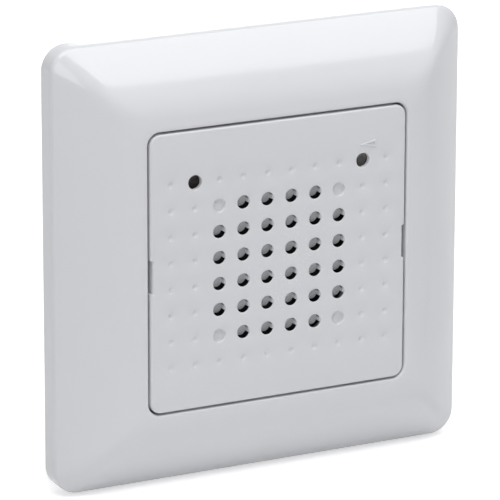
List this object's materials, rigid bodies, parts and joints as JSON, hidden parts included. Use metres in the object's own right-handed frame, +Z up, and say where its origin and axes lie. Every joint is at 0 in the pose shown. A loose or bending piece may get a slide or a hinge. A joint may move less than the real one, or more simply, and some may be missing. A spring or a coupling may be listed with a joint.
{
  "type": "flush door chime",
  "caption": "Flush in-wall door chime with a square convex cover frame, a perforated centre plate with two sunk adjusters, a loudspeaker housing and rear wire terminals.",
  "frame": {"origin": "middle of the support plate's back face, in the plane of the wall", "axes": "+X to the right seen from the room, +Z up, +Y into the wall; the face looks along -Y"},
  "size_m": [0.08, 0.0375, 0.08],
  "materials": {
    "frame_plastic": "smooth white thermoplastic, glossy",
    "plate_plastic": "smooth white thermoplastic, semi-gloss",
    "housing_plastic": "dark grey moulded plastic",
    "zinc_steel": "zinc-plated sheet steel",
    "screw_steel": "zinc-plated screw",
    "ferrite": "unpolished ferrite",
    "paper_cone": "pressed paper",
    "copper": "enamelled copper wire",
    "surround_rubber": "thin rubber",
    "gasket_foam": "closed-cell foam",
    "contact_brass": "nickel-plated brass",
    "board_laminate": "glass-fibre laminate",
    "pot_plastic": "black moulded plastic",
    "rotor_plastic": "black moulded plastic",
    "chip_black": "epoxy moulding compound",
    "capacitor_can": "bare aluminium can",
    "ceramic_tan": "ceramic",
    "terminal_plastic": "light grey polyamide"
  },
  "bodies": {
    "insert": {"support_plate": "zinc_steel", "housing": "housing_plastic", "rear_cover": "housing_plastic", "mounting_screws": "screw_steel", "housing_screws": "screw_steel", "speaker_basket": "zinc_steel", "speaker_top_plate": "zinc_steel", "speaker_magnet": "ferrite", "speaker_yoke": "zinc_steel", "speaker_surround": "surround_rubber", "speaker_gasket": "gasket_foam", "speaker_contacts": "contact_brass", "adjuster_board": "board_laminate", "volume_pot_body": "pot_plastic", "tone_pot_body": "pot_plastic", "link_header": "chip_black", "main_board": "board_laminate", "sound_chip": "chip_black", "amplifier_chip": "chip_black", "filter_capacitor": "capacitor_can", "output_capacitor": "capacitor_can", "bridge_rectifier": "chip_black", "resistors": "chip_black", "ceramic_capacitors": "ceramic_tan", "terminal_block": "terminal_plastic", "terminal_bars": "contact_brass"},
    "frame": {"cover_frame": "frame_plastic"},
    "plate": {"centre_plate": "plate_plastic"},
    "cone": {"speaker_cone": "paper_cone", "dust_cap": "paper_cone", "voice_coil": "copper"},
    "volume_rotor": {"volume_rotor": "rotor_plastic"},
    "tone_rotor": {"tone_rotor": "rotor_plastic"},
    "screw_1": {"terminal_screw_1": "screw_steel"},
    "cage_1": {"terminal_cage_1": "contact_brass"},
    "screw_2": {"terminal_screw_2": "screw_steel"},
    "cage_2": {"terminal_cage_2": "contact_brass"},
    "screw_3": {"terminal_screw_3": "screw_steel"},
    "cage_3": {"terminal_cage_3": "contact_brass"},
    "screw_4": {"terminal_screw_4": "screw_steel"},
    "cage_4": {"terminal_cage_4": "contact_brass"}
  },
  "joints": [
    {"name": "frame_pull", "type": "slide", "parent": "insert", "child": "frame", "axis": [0, -1, 0], "range_m": [0, 0.025]},
    {"name": "plate_pull", "type": "slide", "parent": "frame", "child": "plate", "axis": [0, -1, 0], "range_m": [0, 0.02]},
    {"name": "volume_turn", "type": "hinge", "parent": "insert", "child": "volume_rotor", "pos_m": [0.01643, -0.0087, 0.01583], "axis": [0, -1, 0], "range_deg": [-135, 135]},
    {"name": "tone_turn", "type": "hinge", "parent": "insert", "child": "tone_rotor", "pos_m": [-0.01643, -0.0087, 0.01583], "axis": [0, -1, 0], "range_deg": [-135, 135]},
    {"name": "cone_stroke", "type": "slide", "parent": "insert", "child": "cone", "axis": [0, -1, 0], "range_m": [-0.0004, 0.0004], "stiffness_N_per_m": 1500, "deforming": ["speaker_surround"]},
    {"name": "terminal_screw_1_turn", "type": "hinge", "parent": "insert", "child": "screw_1", "pos_m": [-0.0075, 0.0234, -0.01264], "axis": [0, 1, 0], "range_deg": [-1921, 0]},
    {"name": "terminal_cage_1_lift", "type": "slide", "parent": "insert", "child": "cage_1", "axis": [0, 1, 0], "range_m": [0, 0.0024]},
    {"name": "terminal_screw_2_turn", "type": "hinge", "parent": "insert", "child": "screw_2", "pos_m": [-0.0025, 0.0234, -0.01264], "axis": [0, 1, 0], "range_deg": [-1921, 0]},
    {"name": "terminal_cage_2_lift", "type": "slide", "parent": "insert", "child": "cage_2", "axis": [0, 1, 0], "range_m": [0, 0.0024]},
    {"name": "terminal_screw_3_turn", "type": "hinge", "parent": "insert", "child": "screw_3", "pos_m": [0.0025, 0.0234, -0.01264], "axis": [0, 1, 0], "range_deg": [-1921, 0]},
    {"name": "terminal_cage_3_lift", "type": "slide", "parent": "insert", "child": "cage_3", "axis": [0, 1, 0], "range_m": [0, 0.0024]},
    {"name": "terminal_screw_4_turn", "type": "hinge", "parent": "insert", "child": "screw_4", "pos_m": [0.0075, 0.0234, -0.01264], "axis": [0, 1, 0], "range_deg": [-1921, 0]},
    {"name": "terminal_cage_4_lift", "type": "slide", "parent": "insert", "child": "cage_4", "axis": [0, 1, 0], "range_m": [0, 0.0024]}
  ],
  "couplings": [
    {"joint": "terminal_screw_1_turn", "follows": "terminal_cage_1_lift", "rad_per_m": -13963},
    {"joint": "terminal_screw_2_turn", "follows": "terminal_cage_2_lift", "rad_per_m": -13963},
    {"joint": "terminal_screw_3_turn", "follows": "terminal_cage_3_lift", "rad_per_m": -13963},
    {"joint": "terminal_screw_4_turn", "follows": "terminal_cage_4_lift", "rad_per_m": -13963}
  ]
}
